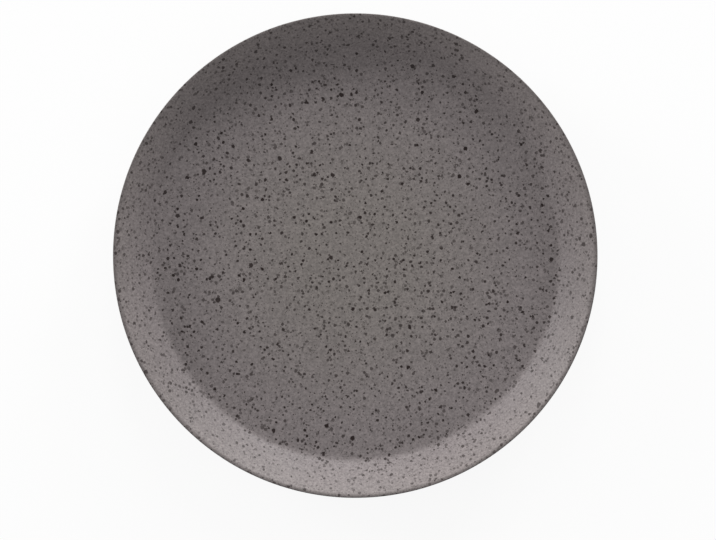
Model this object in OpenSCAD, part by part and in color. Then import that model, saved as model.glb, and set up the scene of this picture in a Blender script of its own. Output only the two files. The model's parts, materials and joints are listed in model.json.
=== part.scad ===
// Coupe dinner plate: a pressed stoneware body with a flat floor, a flared wall, a rounded lip
// and a foot ring, under a thin glaze that covers all of it but the tread of the foot.
// The origin lies on the table, on the axis of the plate, and +Z is up.

/* [Plate] */
// Diameter over the lip
plate_d = 270; // [200:1:340]
// Height from the table to the crest of the lip
plate_h = 23; // [18:0.5:34]
// Thickness of the floor and of the bend into the wall, glaze included
floor_t = 4.8; // [3.6:0.1:7]

/* [Rim] */
// Width of the turned-up rim seen from above, from the flat floor to the outside of the lip
rim_w = 26.5; // [20:0.5:40]
// Radius of the sweep with which the floor starts to rise
sweep_r = 56; // [20:1:90]
// Turn of the sweep, in degrees
sweep_a = 5; // [1:0.5:10]
// Radius of the cove between the sweep and the wall
cove_r = 6; // [2:0.5:11]

/* [Lip] */
// Radius of the lip on its inside, up to the crest
lip_ease_r = 3.2; // [1.6:0.1:5]
// Height of the upright edge of the lip, between its two corners
lip_land = 1.6; // [0.6:0.1:3]
// Radius of both corners of the edge in the clay, to which the glaze adds its thickness
lip_clay_r = 0.1; // [0.05:0.05:0.6]

/* [Foot ring] */
// Distance from the edge of the flat floor in to the middle of the tread
foot_inset = 21.5; // [10:0.5:60]
// Width of the flat tread
foot_w = 3.4; // [1.6:0.1:8]
// Height of the glazed underside above the table, outside the foot ring
foot_h = 3; // [2.2:0.1:6]
// Height of the glazed recess above the table, inside the foot ring
recess_h = 2.6; // [2.2:0.1:4]
// Lean of both sides of the foot ring, in degrees from upright
foot_draft = 15; // [5:1:30]
// Radius of the rounded edges of the tread
foot_edge_r = 0.8; // [0.4:0.1:1.2]
// Radius of the fillets between the foot ring and the underside
foot_root_r = 1; // [0.5:0.1:2]

/* [Glaze] */
// Thickness of the glaze
glaze_t = 0.35; // [0.2:0.05:0.6]
// Height of the bare clay band between the rounded edge of the tread and the glaze
bare_h = 0.5; // [0.2:0.05:0.9]

/* [Hidden] */
$fn = 180;

// Turn of one chord in the rounded stretches of the section, in degrees
arc_step = 4;

// Floor: level of the eating surface, and radius of its flat part
floor_z = foot_h + floor_t;
floor_r = plate_d / 2 - rim_w;

// Bend: the face rises on the sweep and tightens into the cove.
// The back runs parallel to it on the same centres.
sweep_c = [floor_r, floor_z + sweep_r];
bend_c = sweep_c + (sweep_r - cove_r) * [sin(sweep_a), -cos(sweep_a)];
sweep_back_r = sweep_r + floor_t;
knuckle_r = cove_r + floor_t;

// Lip: the crest lies straight above the centres of its three rounds
lip_edge_r = lip_clay_r + glaze_t;
crest_r = plate_d / 2 - lip_edge_r;
ease_c = [crest_r, plate_h - lip_ease_r];
edge_top_c = [crest_r, plate_h - lip_edge_r];
edge_foot_c = edge_top_c - [0, lip_land];

// Wall: both of its sides run straight and touch the rounds of the bend and the lip,
// so their slopes follow from those, and the wall thins towards the lip
function tangent_a(c0, c1, gap) = atan2(c1[1] - c0[1], c1[0] - c0[0]) + asin(gap / norm(c1 - c0));
face_a = tangent_a(bend_c, ease_c, cove_r + lip_ease_r);
back_a = tangent_a(bend_c, edge_foot_c, knuckle_r - lip_edge_r);

// Foot ring: its middle, the top of its rounded edge, and the line where the glaze ends on its sides
foot_r = floor_r - foot_inset;
tread_edge_z = foot_edge_r * (1 - sin(foot_draft));
glaze_z = tread_edge_z + bare_h + glaze_t * cos(foot_draft);

// Points along an arc round c, from angle a0 to a1
function arc(c, r, a0, a1) =
    let (n = ceil(abs(a1 - a0) / arc_step))
    [for (i = [0 : n]) let (a = a0 + (a1 - a0) * i / n) c + r * [cos(a), sin(a)]];
function reversed(line) = [for (i = [len(line) - 1 : -1 : 0]) line[i]];
function after_first(line) = [for (i = [1 : len(line) - 1]) line[i]];

// One side of the foot ring, measured from the middle of the tread.
// The fillet leaves room for the glaze line.
function flank_x(z) = foot_w / 2 + ((z - foot_edge_r) * sin(foot_draft) + foot_edge_r) / cos(foot_draft);
function root_r(h) = min(foot_root_r, (h + glaze_t * sin(foot_draft) - glaze_z) / (1 - sin(foot_draft)));
function root_c(h) =
    let (z = h - root_r(h))
    [flank_x(z) + (root_r(h) + glaze_t) / cos(foot_draft), z];
function root_line(h, depth) = arc(root_c(h), root_r(h) + depth, 90, 180 - foot_draft);
tread_edge_line = arc([foot_w / 2, foot_edge_r], foot_edge_r, -foot_draft, -90);
bead_line = arc([flank_x(glaze_z), glaze_z], glaze_t, -foot_draft, -90 - foot_draft);

// Places that side on the outside (1) or the inside (-1) of the ring
function on_ring(side, line) = [for (p = line) [foot_r + side * p[0], p[1]]];

// The three lines of the section, at a depth under the glazed surface:
// 0 is the glaze, glaze_t the clay under it
function face_line(depth) = concat(
    [[0, floor_z - depth]],
    arc(sweep_c, sweep_r + depth, -90, sweep_a - 90),
    after_first(arc(bend_c, cove_r + depth, sweep_a - 90, face_a - 90)),
    arc(ease_c, lip_ease_r - depth, face_a + 90, 90)
);
function back_line(depth) = concat(
    arc(edge_top_c, lip_edge_r - depth, 90, 0),
    arc(edge_foot_c, lip_edge_r - depth, 0, back_a - 90),
    arc(bend_c, knuckle_r - depth, back_a - 90, sweep_a - 90),
    after_first(arc(sweep_c, sweep_back_r - depth, sweep_a - 90, -90)),
    on_ring(1, root_line(foot_h, depth))
);
function recess_line(depth) = concat(
    [[0, recess_h + depth]],
    on_ring(-1, root_line(recess_h, depth))
);

module turned(outline) {
    rotate_extrude() polygon(outline);
}

// The clay, from the middle of the floor over the lip, down the back, round the foot and across the recess
module stoneware_body() {
    color("#b8a999")
    turned(concat(
        face_line(glaze_t),
        after_first(back_line(glaze_t)),
        on_ring(1, tread_edge_line),
        on_ring(-1, reversed(tread_edge_line)),
        reversed(recess_line(glaze_t))
    ));
}

// The coat on the eating face, up to the crest of the lip
module face_glaze() {
    color("#77716e")
    turned(concat(face_line(0), reversed(face_line(glaze_t))));
}

// The coat on the back, from the crest of the lip to a rounded bead at the glaze line
module outside_glaze() {
    color("#6f6a67")
    turned(concat(back_line(0), on_ring(1, bead_line), reversed(back_line(glaze_t))));
}

// The coat inside the foot ring, up to its own bead
module recess_glaze() {
    color("#6a6562")
    turned(concat(recess_line(0), on_ring(-1, bead_line), reversed(recess_line(glaze_t))));
}

stoneware_body();
face_glaze();
outside_glaze();
recess_glaze();
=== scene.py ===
import json
import math
import bpy
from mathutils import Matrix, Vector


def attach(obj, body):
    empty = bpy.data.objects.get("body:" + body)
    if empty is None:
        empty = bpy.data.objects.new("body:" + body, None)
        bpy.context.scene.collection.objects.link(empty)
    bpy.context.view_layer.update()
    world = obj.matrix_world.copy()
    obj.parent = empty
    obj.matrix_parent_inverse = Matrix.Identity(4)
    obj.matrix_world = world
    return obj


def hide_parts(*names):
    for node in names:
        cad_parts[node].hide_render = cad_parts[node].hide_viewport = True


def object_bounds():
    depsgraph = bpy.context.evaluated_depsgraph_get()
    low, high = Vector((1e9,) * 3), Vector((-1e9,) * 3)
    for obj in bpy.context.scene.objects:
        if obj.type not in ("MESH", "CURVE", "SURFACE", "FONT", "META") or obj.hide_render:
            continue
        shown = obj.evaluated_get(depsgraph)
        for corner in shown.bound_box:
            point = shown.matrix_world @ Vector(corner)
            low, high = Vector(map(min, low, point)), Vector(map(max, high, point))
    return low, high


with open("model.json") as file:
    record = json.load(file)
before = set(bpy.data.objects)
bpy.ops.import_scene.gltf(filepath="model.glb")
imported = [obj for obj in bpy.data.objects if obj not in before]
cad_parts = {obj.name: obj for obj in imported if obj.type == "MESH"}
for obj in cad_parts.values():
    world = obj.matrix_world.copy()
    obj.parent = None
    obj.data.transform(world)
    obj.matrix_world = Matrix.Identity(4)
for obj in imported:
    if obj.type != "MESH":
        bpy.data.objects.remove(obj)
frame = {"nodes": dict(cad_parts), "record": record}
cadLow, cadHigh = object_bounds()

mm = 0.001
quarter = math.pi / 2
print("frame loaded:", ", ".join(sorted(frame["nodes"])))


# Small helpers

def linear(hexColour):
    channels = [int(hexColour[i:i + 2], 16) / 255 for i in (1, 3, 5)]
    return [c / 12.92 if c <= 0.04045 else ((c + 0.055) / 1.055) ** 2.4 for c in channels] + [1.0]


def addNode(tree, kind, inputs=None, **settings):
    # an input is a value, a node's output to link, or a node, which gives its first output in use
    node = tree.nodes.new(kind)
    for name, value in settings.items():
        setattr(node, name, value)
    for key, value in (inputs or {}).items():
        if isinstance(value, bpy.types.Node):
            value = next(output for output in value.outputs if output.enabled)
        if isinstance(value, bpy.types.NodeSocket):
            tree.links.new(value, node.inputs[key])
        else:
            node.inputs[key].default_value = value
    return node


def newMaterial(name):
    material = bpy.data.materials.new(name)
    material.use_nodes = True
    material.node_tree.nodes.clear()
    return material, material.node_tree


mixA, mixB = 6, 7  # the two colour sockets of a Mix node, which share their names with others
noiseSpan = {"From Min": 0.3, "From Max": 0.7}  # nearly all values of a noise lie between these
flatten = (1.0, 1.0, 0.0)  # times a place, leaves its distance from the axis


# Section of the plate: the outer sizes come from the frame, the rest are the potter's own, in mm

mounts = {mount["name"]: mount["pos_m"] for mount in frame["record"]["mounts"]}
section = {
    "plateRadius": cadHigh[0] / mm,
    "plateHeight": cadHigh[2] / mm,
    "floorLevel": mounts["eating_floor"][2] / mm,
    "footRadius": mounts["foot_tread"][0] / mm,
    "rimWidth": 26.5,
    "floorThickness": 4.8,
    "sweepRadius": 56.0,  # the soft start of the bend
    "sweepAngle": 5.0,  # degrees
    "coveRadius": 6.0,
    "lipEaseRadius": 3.2,  # inside of the lip
    "lipClayRadius": 0.1,  # both corners of its edge, under the glaze
    "lipLand": 1.6,  # upright band between them
    "recessLevel": 2.6,
    "footWidth": 3.4,
    "footDraft": 15.0,  # degrees
    "footEdgeRadius": 0.8,
    "footRootRadius": 1.0,
    "glazeThickness": 0.35,
    "bareBand": 0.5,
    "arcSteps": 12,
    "ringSpacing": 6.0,
    "endShare": 0.12,  # of a ring's spacing, from the end of a flat stretch to the ring next to it
    "sharpAngle": 40.0,  # degrees, past which an edge stays crisp
}

glaze = section["glazeThickness"]
draft = math.radians(section["footDraft"])
floorRadius = section["plateRadius"] - section["rimWidth"]
underLevel = section["floorLevel"] - section["floorThickness"]
sweepAngle = math.radians(section["sweepAngle"])
sweepCentre = (floorRadius, section["floorLevel"] + section["sweepRadius"])
tighter = section["sweepRadius"] - section["coveRadius"]
bendCentre = (sweepCentre[0] + tighter * math.sin(sweepAngle),
              sweepCentre[1] - tighter * math.cos(sweepAngle))
knuckleRadius = section["coveRadius"] + section["floorThickness"]
lipEase = section["lipEaseRadius"]
lipEdge = section["lipClayRadius"] + glaze
crestRadius = section["plateRadius"] - lipEdge
easeCentre = (crestRadius, section["plateHeight"] - lipEase)
edgeTop = (crestRadius, section["plateHeight"] - lipEdge)
edgeFoot = (crestRadius, edgeTop[1] - section["lipLand"])
footEdge = section["footEdgeRadius"]
glazeLine = footEdge * (1 - math.sin(draft)) + section["bareBand"] + glaze * math.cos(draft)


def tangentAngle(start, end, gap):
    # slope of the straight stretch that touches two rounds, gap being the sum or difference of their radii
    across, up = end[0] - start[0], end[1] - start[1]
    return math.atan2(up, across) + math.asin(gap / math.hypot(across, up))


faceAngle = tangentAngle(bendCentre, easeCentre, section["coveRadius"] + lipEase)
backAngle = tangentAngle(bendCentre, edgeFoot, knuckleRadius - lipEdge)


def arcLine(centre, radius, start, end):
    steps = section["arcSteps"]
    angles = [start + (end - start) * i / steps for i in range(steps + 1)]
    return [(centre[0] + radius * math.cos(a), centre[1] + radius * math.sin(a)) for a in angles]


def flatLine(startRadius, endRadius, level):
    # rings across a flat stretch, close together at its ends so that the shading stays flat
    count = max(1, round(abs(endRadius - startRadius) / section["ringSpacing"]))
    near = section["endShare"] / count
    shares = [0.0, near] + [i / count for i in range(1, count)] + [1 - near]
    return [(startRadius + (endRadius - startRadius) * share, level) for share in shares]


def flankRadius(level):
    # half the width of the foot ring at a level
    return section["footWidth"] / 2 + ((level - footEdge) * math.sin(draft) + footEdge) / math.cos(draft)


def rootLine(level, depth):
    # fillet between the foot ring and the underside, which leaves room for the glaze line
    room = (level + glaze * math.sin(draft) - glazeLine) / (1 - math.sin(draft))
    root = min(section["footRootRadius"], room)
    centre = (flankRadius(level - root) + (root + glaze) / math.cos(draft), level - root)
    return arcLine(centre, root + depth, quarter, math.pi - draft)


def onFoot(side, line):
    return [(section["footRadius"] + side * r, z) for r, z in line]


# The three lines of the section, at a depth under the glazed surface

def faceLine(depth):
    return (flatLine(0.0, floorRadius, section["floorLevel"] - depth)
            + arcLine(sweepCentre, section["sweepRadius"] + depth, -quarter, sweepAngle - quarter)[:-1]
            + arcLine(bendCentre, section["coveRadius"] + depth, sweepAngle - quarter, faceAngle - quarter)
            + arcLine(easeCentre, lipEase - depth, faceAngle + quarter, quarter))


def backLine(depth):
    root = onFoot(1, rootLine(underLevel, depth))
    sweepBack = section["sweepRadius"] + section["floorThickness"] - depth
    return (arcLine(edgeTop, lipEdge - depth, quarter, 0.0)
            + arcLine(edgeFoot, lipEdge - depth, 0.0, backAngle - quarter)
            + arcLine(bendCentre, knuckleRadius - depth, backAngle - quarter, sweepAngle - quarter)[:-1]
            + arcLine(sweepCentre, sweepBack, sweepAngle - quarter, -quarter)[:-1]
            + flatLine(floorRadius, root[0][0], underLevel + depth)
            + root)


def recessLine(depth):
    root = onFoot(-1, rootLine(section["recessLevel"], depth))
    return flatLine(0.0, root[0][0], section["recessLevel"] + depth) + root


beadLine = arcLine((flankRadius(glazeLine), glazeLine), glaze, -draft, -quarter - draft)
edgeLine = arcLine((section["footWidth"] / 2, footEdge), footEdge, -draft, -quarter)
print("section drawn: wall slope", round(math.degrees(faceAngle), 1), "degrees")


# Turning: a tree that spins a section line round the axis, as the potter's wheel does

turning = {
    "Segments": 480,  # faces round the plate
    "Weld Distance": 0.0005 * mm,
    "Unevenness": 0.03 * mm,  # a pressed floor is never quite flat
    "Swell Width": 34.0 * mm,
    "Calm Radius": 118.0 * mm,  # past this the rim is true
    "Still Level": 1.6 * mm,  # up to here the foot ring is true as well
    "Free Level": 2.4 * mm,
    "Seed": 4.0,
}


def turningTree():
    tree = bpy.data.node_groups.new("turnedSection", "GeometryNodeTree")
    kinds = {name: "Int" if isinstance(value, int) else "Float" for name, value in turning.items()}
    for name, kind in {"Section": "Geometry", **kinds, "Finish": "Material"}.items():
        tree.interface.new_socket(name=name, in_out="INPUT", socket_type="NodeSocket" + kind)
    tree.interface.new_socket(name="Piece", in_out="OUTPUT", socket_type="NodeSocketGeometry")
    given = addNode(tree, "NodeGroupInput").outputs

    # a grid with one column for each segment and one row for each point of the section
    size = addNode(tree, "GeometryNodeAttributeDomainSize", {"Geometry": given["Section"]})
    points = size.outputs["Point Count"]
    columns = addNode(tree, "ShaderNodeMath", {0: given["Segments"], 1: 1.0}, operation="ADD")
    grid = addNode(tree, "GeometryNodeMeshGrid", {"Vertices X": columns, "Vertices Y": points})
    index = addNode(tree, "GeometryNodeInputIndex")
    row = addNode(tree, "ShaderNodeMath", {0: index, 1: points}, operation="MODULO")
    share = addNode(tree, "ShaderNodeMath", {0: index, 1: points}, operation="DIVIDE")
    column = addNode(tree, "ShaderNodeMath", {0: share}, operation="FLOOR")
    turn = addNode(tree, "ShaderNodeMath", {0: column, 1: given["Segments"]}, operation="DIVIDE")
    angle = addNode(tree, "ShaderNodeMath", {0: turn, 1: 2 * math.pi}, operation="MULTIPLY")

    # each row takes its place from the section and is turned round the axis
    place = addNode(tree, "GeometryNodeInputPosition")
    drawn = addNode(tree, "GeometryNodeSampleIndex",
                    {"Geometry": given["Section"], "Value": place, "Index": row}, data_type="FLOAT_VECTOR")
    spun = addNode(tree, "ShaderNodeVectorRotate", {"Vector": drawn, "Angle": angle},
                   rotation_type="Z_AXIS")
    turned = addNode(tree, "GeometryNodeSetPosition", {"Geometry": grid, "Position": spun})

    # so does its place on the flat map of the piece, which the section carries as two numbers
    flat = {}
    for name in ("mapRadius", "mapCentre"):
        carried = addNode(tree, "GeometryNodeInputNamedAttribute", {"Name": name}, data_type="FLOAT")
        flat[name] = addNode(tree, "GeometryNodeSampleIndex",
                             {"Geometry": given["Section"], "Value": carried, "Index": row},
                             data_type="FLOAT")
    arm = addNode(tree, "ShaderNodeCombineXYZ", {"X": flat["mapRadius"]})
    swung = addNode(tree, "ShaderNodeVectorRotate", {"Vector": arm, "Angle": angle}, rotation_type="Z_AXIS")
    centre = addNode(tree, "ShaderNodeCombineXYZ", {"X": flat["mapCentre"], "Y": flat["mapCentre"]})
    spread = addNode(tree, "ShaderNodeVectorMath", {0: swung, 1: centre}, operation="ADD")
    pinned = addNode(tree, "GeometryNodeStoreNamedAttribute",
                     {"Geometry": turned, "Name": "mapPlace", "Value": spread},
                     data_type="FLOAT_VECTOR", domain="POINT")
    onPoints = addNode(tree, "GeometryNodeInputNamedAttribute", {"Name": "mapPlace"},
                       data_type="FLOAT_VECTOR")
    mapped = addNode(tree, "GeometryNodeStoreNamedAttribute",
                     {"Geometry": pinned, "Name": "OFBake", "Value": onPoints},
                     data_type="FLOAT2", domain="CORNER")
    unpinned = addNode(tree, "GeometryNodeRemoveAttribute", {"Geometry": mapped, "Name": "mapPlace"})
    closed = addNode(tree, "GeometryNodeMergeByDistance",
                     {"Geometry": unpinned, "Distance": given["Weld Distance"]})

    # slow swells of the pressed floor, gone before the wall and the tread
    waves = addNode(tree, "ShaderNodeMath", {0: 1.0, 1: given["Swell Width"]}, operation="DIVIDE")
    swell = addNode(tree, "ShaderNodeTexNoise",
                    {"Vector": place, "W": given["Seed"], "Scale": waves, "Detail": 1.0},
                    noise_dimensions="4D")
    centred = addNode(tree, "ShaderNodeMath", {0: swell, 1: 0.5}, operation="SUBTRACT")
    reach = addNode(tree, "ShaderNodeVectorMath", {0: place, 1: flatten}, operation="MULTIPLY")
    radius = addNode(tree, "ShaderNodeVectorMath", {0: reach}, operation="LENGTH")
    calm = addNode(tree, "ShaderNodeMapRange",
                   {"Value": radius, "From Min": given["Calm Radius"], "From Max": 0.0})
    level = addNode(tree, "ShaderNodeSeparateXYZ", {0: place}).outputs["Z"]
    lifted = addNode(tree, "ShaderNodeMapRange",
                     {"Value": level, "From Min": given["Still Level"], "From Max": given["Free Level"]})
    amount = addNode(tree, "ShaderNodeMath", {0: centred, 1: calm}, operation="MULTIPLY")
    held = addNode(tree, "ShaderNodeMath", {0: amount, 1: lifted}, operation="MULTIPLY")
    height = addNode(tree, "ShaderNodeMath", {0: held, 1: given["Unevenness"]}, operation="MULTIPLY")
    offset = addNode(tree, "ShaderNodeCombineXYZ", {"Z": height})
    uneven = addNode(tree, "GeometryNodeSetPosition", {"Geometry": closed, "Offset": offset})

    smooth = addNode(tree, "GeometryNodeSetShadeSmooth", {"Geometry": uneven})
    real = addNode(tree, "GeometryNodeRealizeInstances", {"Geometry": smooth})
    finished = addNode(tree, "GeometryNodeSetMaterial", {"Geometry": real, "Material": given["Finish"]})
    addNode(tree, "NodeGroupOutput", {"Piece": finished})
    return tree


# The flat map of a piece, in shares of its side: a disc for what shows, and a small one in the corner
flatMap = {"shownShare": 0.495, "shownCentre": 0.5, "coveredShare": 0.07, "coveredCentre": 0.075}


def layOut(before, shown, after):
    # what shows fills a disc or a ring of the map by its length along the section,
    # and what the other pieces cover goes on the small disc
    inner = min(shown[0][0], shown[-1][0])
    lengths = [inner]
    outward = shown if shown[0][0] == inner else shown[::-1]
    for a, b in zip(outward, outward[1:]):
        lengths.append(lengths[-1] + math.dist(a, b))
    shownRadii = [flatMap["shownShare"] * length / lengths[-1] for length in lengths]
    if outward is not shown:
        shownRadii.reverse()
    # the ends of what shows stand twice in the outline, once for each place on the map
    before = before + shown[:1] if before else []
    after = shown[-1:] + after
    small = flatMap["coveredShare"] / section["plateRadius"]
    radii = [small * r for r, z in before] + shownRadii + [small * r for r, z in after]
    centres = [flatMap["coveredCentre"]] * len(before)
    centres += [flatMap["shownCentre"]] * len(shown)
    centres += [flatMap["coveredCentre"]] * len(after)
    rows = list(zip(before + shown + after, radii, centres))
    # faces point outwards where the outline runs anticlockwise
    turn = sum(a[0][0] * b[0][1] - b[0][0] * a[0][1] for a, b in zip(rows, rows[1:] + rows[:1]))
    return zip(*(rows if turn > 0 else rows[::-1]))


def turnPiece(name, before, shown, after, finish, tree):
    outline, mapRadii, mapCentres = layOut(before, shown, after)
    mesh = bpy.data.meshes.new(name)
    corners = [(r * mm, 0.0, z * mm) for r, z in outline]
    mesh.from_pydata(corners, [(i, i + 1) for i in range(len(corners) - 1)], [])
    mesh.attributes.new("mapRadius", "FLOAT", "POINT").data.foreach_set("value", mapRadii)
    mesh.attributes.new("mapCentre", "FLOAT", "POINT").data.foreach_set("value", mapCentres)
    piece = bpy.data.objects.new(name, mesh)
    bpy.context.scene.collection.objects.link(piece)
    modifier = piece.modifiers.new("turning", "NODES")
    modifier.node_group = tree
    values = dict(turning, Finish=finish)
    for item in tree.interface.items_tree:
        if item.in_out == "INPUT" and item.name in values:
            modifier[item.identifier] = values[item.name]
    spun = piece.evaluated_get(bpy.context.evaluated_depsgraph_get())
    solid = bpy.data.meshes.new_from_object(spun)
    piece.modifiers.remove(modifier)
    piece.data = solid
    solid.name = name
    solid.set_sharp_from_angle(angle=math.radians(section["sharpAngle"]))
    print("turned", name, "with", len(solid.polygons), "faces")
    return piece


# Satin matt glaze on stoneware, sprayed on and fired: a soft grey with no clear shine, where iron grains
# in the clay melt through as dark ragged specks, from a fine dust up to spots of 2 mm or so

glazeLook = {
    "ground": "#77716e",  # in the middle, a warm grey
    "outer": "#787171",  # cooler further out
    "outerStart": 30.0,  # mm from the axis
    "outerEnd": 95.0,
    "thin": "#7c7574",  # towards the lip, where the coat is thinner
    "edge": "#645e5d",  # painted shade: darker along the lip's edge, where the rounded edge turns from the light
    "edgeShadeWidth": 2.2,  # mm
    "iron": "#180806",  # a dark rust brown
    "dustWidth": 1.2,  # mm, a fine grain of iron all over, drawn coarser than it is so that it shows
    "dustDepth": 0.24,
    "driftWidth": 30.0,  # mm, slow cloudy changes of the coat
    "driftDepth": 0.03,
    "wallStart": 113.0,  # mm from the axis, where the specks begin to grow paler on the slope
    "wallEnd": 118.0,
    "wallDark": 0.82,  # what is left of their darkness there
    "gatherWidth": 16.0,  # mm, patches where the specks are larger or smaller
    "gatherDepth": 0.12,
    "raggedWidth": 1.3,  # of a speck's radius, the bays in its outline
    "layerStep": 37.0,  # mm, keeps the layers of specks from lying on each other
    "layerStart": (11.0, 5.0),
    "roughness": 0.55,
    "roughnessDrift": 0.04,
    "ior": 1.5,
    "specular": 0.3,
    "peelWidth": 1.6,  # mm, the faint orange peel of a sprayed coat
    "peelHeight": 0.012,
}
speckSizes = [  # cell, radius and soft edge in mm; with two layers, specks of a size can lie side by side
    {"layers": 1, "cell": 7.0, "radius": 1.35, "soft": 0.26,
     "rarity": 1.4, "dark": (0.9, 1.0), "ragged": 0.8},
    {"layers": 2, "cell": 2.67, "radius": 0.98, "soft": 0.24,
     "rarity": 0.95, "dark": (0.45, 1.0), "ragged": 0.7},
    {"layers": 1, "cell": 1.0, "radius": 0.36, "soft": 0.2,
     "rarity": 0.6, "dark": (0.1, 0.75), "ragged": 0.5},
]


def satinSpeckledGlaze():
    material, tree = newMaterial("satinSpeckledGlaze")
    look = glazeLook
    where = addNode(tree, "ShaderNodeTexCoord").outputs["Object"]
    inMm = addNode(tree, "ShaderNodeVectorMath", {0: where, "Scale": 1 / mm}, operation="SCALE")

    # distance from the axis tells the floor from the slope
    across = addNode(tree, "ShaderNodeVectorMath", {0: inMm, 1: flatten}, operation="MULTIPLY")
    axisDistance = addNode(tree, "ShaderNodeVectorMath", {0: across}, operation="LENGTH")
    paler = addNode(tree, "ShaderNodeMapRange",
                    {"Value": axisDistance, "From Min": look["wallStart"], "From Max": look["wallEnd"],
                     "To Min": 1.0, "To Max": look["wallDark"]})

    # the specks gather a little in places
    gather = addNode(tree, "ShaderNodeTexNoise",
                     {"Vector": inMm, "Scale": 1 / look["gatherWidth"], "Detail": 2.0})
    gathered = addNode(tree, "ShaderNodeMapRange",
                       {"Value": gather, **noiseSpan,
                        "To Min": 1 - look["gatherDepth"], "To Max": 1 + look["gatherDepth"]})

    # one Voronoi cell holds one grain, with its own size and darkness
    specks = None
    layers = [speck for speck in speckSizes for i in range(speck["layers"])]
    for layer, speck in enumerate(layers):
        bays = addNode(tree, "ShaderNodeTexNoise",
                       {"Vector": inMm, "Scale": 1 / (look["raggedWidth"] * speck["radius"]), "Detail": 2.0})
        shift = addNode(tree, "ShaderNodeVectorMath", {0: bays.outputs["Color"], 1: (0.5, 0.5, 0.5)},
                        operation="SUBTRACT")
        push = addNode(tree, "ShaderNodeVectorMath",
                       {0: shift, "Scale": 2 * speck["ragged"] * speck["radius"]}, operation="SCALE")
        ragged = addNode(tree, "ShaderNodeVectorMath", {0: inMm, 1: push}, operation="ADD")
        moved = addNode(tree, "ShaderNodeVectorMath",
                        {0: ragged, 1: (look["layerStep"] * layer, *look["layerStart"])}, operation="ADD")
        grains = addNode(tree, "ShaderNodeTexVoronoi", {"Vector": moved, "Scale": 1 / speck["cell"]})
        # a cell's colour also places its grain, so the chance is drawn anew, or large grains stand in rows
        drawn = addNode(tree, "ShaderNodeTexWhiteNoise", {"Vector": grains.outputs["Color"]})
        chance = addNode(tree, "ShaderNodeSeparateColor", {0: drawn.outputs["Color"]}).outputs
        skewed = addNode(tree, "ShaderNodeMath", {0: chance["Red"], 1: speck["rarity"]}, operation="POWER")
        sized = addNode(tree, "ShaderNodeMath", {0: skewed, 1: gathered}, operation="MULTIPLY")
        reach = addNode(tree, "ShaderNodeMath", {0: sized, 1: speck["radius"]}, operation="MULTIPLY")
        distance = addNode(tree, "ShaderNodeMath", {0: grains.outputs["Distance"], 1: speck["cell"]},
                           operation="MULTIPLY")
        inside = addNode(tree, "ShaderNodeMath", {0: reach, 1: distance}, operation="SUBTRACT")
        mask = addNode(tree, "ShaderNodeMapRange",
                       {"Value": inside, "From Min": -speck["soft"] / 2, "From Max": speck["soft"] / 2},
                       interpolation_type="SMOOTHSTEP")
        palest, darkest = speck["dark"]
        dark = addNode(tree, "ShaderNodeMapRange",
                       {"Value": chance["Green"], "To Min": palest, "To Max": darkest})
        shown = addNode(tree, "ShaderNodeMath", {0: mask, 1: dark}, operation="MULTIPLY")
        if specks is None:
            specks = shown
        else:
            specks = addNode(tree, "ShaderNodeMath", {0: specks, 1: shown}, operation="MAXIMUM")

    # the grey cools outwards, grows lighter towards the lip and takes painted shade along the lip's edge
    outward = addNode(tree, "ShaderNodeMapRange",
                      {"Value": axisDistance, "From Min": look["outerStart"], "From Max": look["outerEnd"]})
    ground = addNode(tree, "ShaderNodeMix",
                     {0: outward, mixA: linear(look["ground"]), mixB: linear(look["outer"])},
                     data_type="RGBA")
    lipward = addNode(tree, "ShaderNodeMapRange",
                      {"Value": axisDistance, "From Min": look["wallEnd"],
                       "From Max": section["plateRadius"] - section["lipEaseRadius"]})
    rising = addNode(tree, "ShaderNodeMix", {0: lipward, mixA: ground, mixB: linear(look["thin"])},
                     data_type="RGBA")
    # painted shade: a darker ring along the lip's edge, where the rounded edge turns from the light
    lipEdgeShadeMask = addNode(tree, "ShaderNodeMapRange",
                       {"Value": axisDistance, "From Min": crestRadius - look["edgeShadeWidth"],
                        "From Max": crestRadius})
    lipEdgeShaded = addNode(tree, "ShaderNodeMix", {0: lipEdgeShadeMask, mixA: rising, mixB: linear(look["edge"])},
                    data_type="RGBA")

    # slow clouds and a fine dust make it lighter and darker
    mottle = addNode(tree, "ShaderNodeTexNoise",
                     {"Vector": inMm, "Scale": 1 / look["driftWidth"], "Detail": 2.0})
    drift = addNode(tree, "ShaderNodeMapRange",
                    {"Value": mottle, **noiseSpan,
                     "To Min": 1 - look["driftDepth"], "To Max": 1 + look["driftDepth"]})
    powder = addNode(tree, "ShaderNodeTexNoise",
                     {"Vector": inMm, "Scale": 1 / look["dustWidth"], "Detail": 2.0})
    dust = addNode(tree, "ShaderNodeMapRange",
                   {"Value": powder, **noiseSpan,
                    "To Min": 1 - look["dustDepth"], "To Max": 1 + look["dustDepth"]})
    shade = addNode(tree, "ShaderNodeMath", {0: drift, 1: dust}, operation="MULTIPLY")
    grained = addNode(tree, "ShaderNodeMix", {0: 1.0, mixA: lipEdgeShaded, mixB: shade},
                      data_type="RGBA", blend_type="MULTIPLY")
    iron = addNode(tree, "ShaderNodeMath", {0: specks, 1: paler}, operation="MULTIPLY")
    colour = addNode(tree, "ShaderNodeMix", {0: iron, mixA: grained, mixB: linear(look["iron"])},
                     data_type="RGBA")

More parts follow.
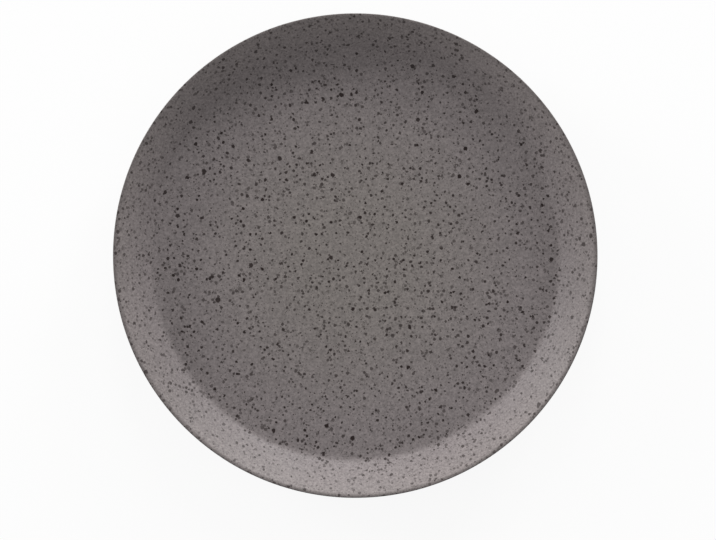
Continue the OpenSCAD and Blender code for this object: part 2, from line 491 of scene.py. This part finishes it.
    # orange peel of the sprayed coat
    peel = addNode(tree, "ShaderNodeTexNoise",
                   {"Vector": inMm, "Scale": 1 / look["peelWidth"], "Detail": 2.0})
    bump = addNode(tree, "ShaderNodeBump", {"Height": peel, "Distance": look["peelHeight"] * mm})
    sheen = addNode(tree, "ShaderNodeMapRange",
                    {"Value": mottle, **noiseSpan,
                     "To Min": look["roughness"] - look["roughnessDrift"],
                     "To Max": look["roughness"] + look["roughnessDrift"]})
    shader = addNode(tree, "ShaderNodeBsdfPrincipled",
                     {"Base Color": colour, "Roughness": sheen, "IOR": look["ior"],
                      "Specular IOR Level": look["specular"], "Normal": bump})
    addNode(tree, "ShaderNodeOutputMaterial", {"Surface": shader})
    return material


# Fired stoneware, left bare where the plate stood in the kiln: dry and grainy, rubbed smooth on the tread

clayLook = {
    "clay": "#bcae9d",
    "fired": "#8f7d69",
    "toasted": "#7a5c44",  # a line along the glaze, where the clay flashed in the kiln
    "toastedShare": 0.8,
    "toastedHeight": 0.9,  # mm above the table
    "rubbedHeight": 0.35,
    "grog": "#3b2d25",
    "grogSpacing": 1.5,  # mm
    "grogRadius": 0.42,  # twice the real grit, so that it shows
    "grogSoftShare": 0.04,  # of the spacing
    "grainWidth": 1.4,  # mm
    "grainHeight": 0.06,
    "dryRoughness": 0.9,
    "rubbedRoughness": 0.7,
    "ior": 1.5,
}


def bareStoneware():
    material, tree = newMaterial("bareStoneware")
    look = clayLook
    where = addNode(tree, "ShaderNodeTexCoord").outputs["Object"]
    inMm = addNode(tree, "ShaderNodeVectorMath", {0: where, "Scale": 1 / mm}, operation="SCALE")
    level = addNode(tree, "ShaderNodeSeparateXYZ", {0: inMm}).outputs["Z"]
    rubbed = addNode(tree, "ShaderNodeMapRange",
                     {"Value": level, "From Min": look["rubbedHeight"], "From Max": 0.0})

    # grainy clay, toasted along the glaze
    grain = addNode(tree, "ShaderNodeTexNoise",
                    {"Vector": inMm, "Scale": 1 / look["grainWidth"], "Detail": 5.0, "Roughness": 0.65})
    body = addNode(tree, "ShaderNodeMix",
                   {0: grain, mixA: linear(look["fired"]), mixB: linear(look["clay"])}, data_type="RGBA")
    flashed = addNode(tree, "ShaderNodeMapRange",
                      {"Value": level, "From Min": look["toastedHeight"] - look["rubbedHeight"],
                       "From Max": look["toastedHeight"], "To Max": look["toastedShare"]})
    banded = addNode(tree, "ShaderNodeMix", {0: flashed, mixA: body, mixB: linear(look["toasted"])},
                     data_type="RGBA")

    # dark grains of grog, with sizes drawn anew as for the specks
    grog = addNode(tree, "ShaderNodeTexVoronoi", {"Vector": inMm, "Scale": 1 / look["grogSpacing"]}).outputs
    chance = addNode(tree, "ShaderNodeTexWhiteNoise", {"Vector": grog["Color"]})
    grit = addNode(tree, "ShaderNodeMath", {0: chance, 1: look["grogRadius"] / look["grogSpacing"]},
                   operation="MULTIPLY")
    depth = addNode(tree, "ShaderNodeMath", {0: grit, 1: grog["Distance"]}, operation="SUBTRACT")
    pricks = addNode(tree, "ShaderNodeMapRange",
                     {"Value": depth, "From Min": -look["grogSoftShare"], "From Max": look["grogSoftShare"]})
    colour = addNode(tree, "ShaderNodeMix", {0: pricks, mixA: banded, mixB: linear(look["grog"])},
                     data_type="RGBA")

    dry = addNode(tree, "ShaderNodeMapRange",
                  {"Value": rubbed, "To Min": look["dryRoughness"], "To Max": look["rubbedRoughness"]})
    bump = addNode(tree, "ShaderNodeBump", {"Height": grain, "Distance": look["grainHeight"] * mm})
    shader = addNode(tree, "ShaderNodeBsdfPrincipled",
                     {"Base Color": colour, "Roughness": dry, "IOR": look["ior"], "Normal": bump})
    addNode(tree, "ShaderNodeOutputMaterial", {"Surface": shader})
    return material


# The four pieces: for each the stretch of its section that shows, and what the other pieces cover

glazeFinish = satinSpeckledGlaze()
clayFinish = bareStoneware()
print("finishes mixed:", glazeFinish.name, clayFinish.name)

wheel = turningTree()
clayFace, clayBack, clayRecess = faceLine(glaze), backLine(glaze), recessLine(glaze)
bareFoot = clayBack[-1:] + onFoot(1, edgeLine) + onFoot(-1, edgeLine[::-1]) + clayRecess[-1:]
faceShown = faceLine(0.0)
backShown = backLine(0.0) + onFoot(1, beadLine)[1:]
recessShown = recessLine(0.0) + onFoot(-1, beadLine)[1:]
pieces = [
    {"name": "stoneware_core", "node": "stoneware_body", "slot": "bare_stoneware", "finish": clayFinish,
     "before": clayFace + clayBack[1:-1], "shown": bareFoot, "after": clayRecess[-2::-1]},
    {"name": "face_glaze_coat", "node": "face_glaze", "slot": "speckled_glaze", "finish": glazeFinish,
     "before": [], "shown": faceShown, "after": clayFace[::-1]},
    {"name": "outside_glaze_coat", "node": "outside_glaze", "slot": "speckled_glaze", "finish": glazeFinish,
     "before": [], "shown": backShown, "after": clayBack[::-1] + backShown[:1]},
    {"name": "recess_glaze_coat", "node": "recess_glaze", "slot": "speckled_glaze", "finish": glazeFinish,
     "before": [], "shown": recessShown, "after": clayRecess[::-1]},
]
for part in pieces:
    piece = turnPiece(part["name"], part["before"], part["shown"], part["after"], part["finish"], wheel)
    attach(piece, "root")
    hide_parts(part["node"])


# White paper sweep: the camera and reflections see it as white, and it still takes the plate's shadow

sweep = {"halfWidth": 4.0, "drop": 0.2 * mm, "paper": "#f4f4f4", "white": "#ffffff", "whiteShare": 0.9}


def whiteSweep():
    material, tree = newMaterial("whitePaper")
    seen = addNode(tree, "ShaderNodeLightPath").outputs
    mirrored = addNode(tree, "ShaderNodeMath", {0: seen["Is Glossy Ray"], 1: seen["Is Transmission Ray"]},
                       operation="MAXIMUM")
    direct = addNode(tree, "ShaderNodeMath", {0: seen["Is Camera Ray"], 1: mirrored}, operation="MAXIMUM")
    share = addNode(tree, "ShaderNodeMath", {0: direct, 1: sweep["whiteShare"]}, operation="MULTIPLY")
    paper = addNode(tree, "ShaderNodeBsdfDiffuse", {"Color": linear(sweep["paper"])})
    white = addNode(tree, "ShaderNodeEmission", {"Color": linear(sweep["white"]), "Strength": 1.0})
    mixed = addNode(tree, "ShaderNodeMixShader", {0: share, 1: paper, 2: white})
    addNode(tree, "ShaderNodeOutputMaterial", {"Surface": mixed})

    half = sweep["halfWidth"]
    mesh = bpy.data.meshes.new("paperSweep")
    corners = ((-half, -half), (half, -half), (half, half), (-half, half))
    mesh.from_pydata([(x, y, -sweep["drop"]) for x, y in corners], [], [(0, 1, 2, 3)])
    mesh.materials.append(material)
    floor = bpy.data.objects.new("paperSweep", mesh)
    bpy.context.scene.collection.objects.link(floor)
    print("paper laid,", 2 * half, "m wide")


whiteSweep()


# Soft studio light: an even fill from all round and three lamps low on the far side

studio = {"fill": 0.525, "fillColour": "#ffffff", "lampSize": 1.0, "lampDistance": 3.0}
lamps = [  # degrees from +X and above the table, watts
    {"name": "farRight", "azimuth": 60, "elevation": 12, "power": 69.5},
    {"name": "farLeft", "azimuth": 150, "elevation": 12, "power": 61.5},
    {"name": "farMiddle", "azimuth": 90, "elevation": 22, "power": 31.5},
]

for lamp in lamps:
    light = bpy.data.lights.new(lamp["name"], "AREA")
    light.shape = "DISK"
    light.size = studio["lampSize"]
    light.energy = lamp["power"]
    around, up = math.radians(lamp["azimuth"]), math.radians(lamp["elevation"])
    towards = (math.cos(up) * math.cos(around), math.cos(up) * math.sin(around), math.sin(up))
    holder = bpy.data.objects.new(lamp["name"], light)
    holder.location = [studio["lampDistance"] * share for share in towards]
    holder.rotation_euler = (quarter - up, 0.0, around + quarter)  # faces the plate
    holder.visible_camera = False
    bpy.context.scene.collection.objects.link(holder)

world = bpy.data.worlds.new("studioFill")
world.use_nodes = True
air = world.node_tree
air.nodes.clear()
fill = addNode(air, "ShaderNodeBackground",
               {"Color": linear(studio["fillColour"]), "Strength": studio["fill"]})
addNode(air, "ShaderNodeOutputWorld", {"Surface": fill})
bpy.context.scene.world = world
print("studio lit with", len(lamps), "lamps")


# Camera: straight above the plate, framed as the photograph is

shot = {
    "height": 1.4,  # m above the table
    "sensor": 36.0,  # mm
    "photoWidth": 716,  # pixels, as are the rest
    "photoHeight": 540,
    "rimCentre": (355.28, 255.60),
    "rimRadius": 242.306,
}

pixel = cadHigh[0] / shot["rimRadius"]
camera = bpy.data.cameras.new("overhead")
camera.type = "PERSP"
camera.sensor_width = shot["sensor"]
camera.lens = shot["sensor"] * (shot["height"] - edgeTop[1] * mm) / (shot["photoWidth"] * pixel)
tripod = bpy.data.objects.new("overhead", camera)
tripod.location = ((shot["photoWidth"] / 2 - shot["rimCentre"][0]) * pixel,
                   (shot["rimCentre"][1] - shot["photoHeight"] / 2) * pixel, shot["height"])
bpy.context.scene.collection.objects.link(tripod)
bpy.context.scene.camera = tripod
bpy.context.scene.view_settings.view_transform = "Standard"
print("camera lens", round(camera.lens, 1), "mm")
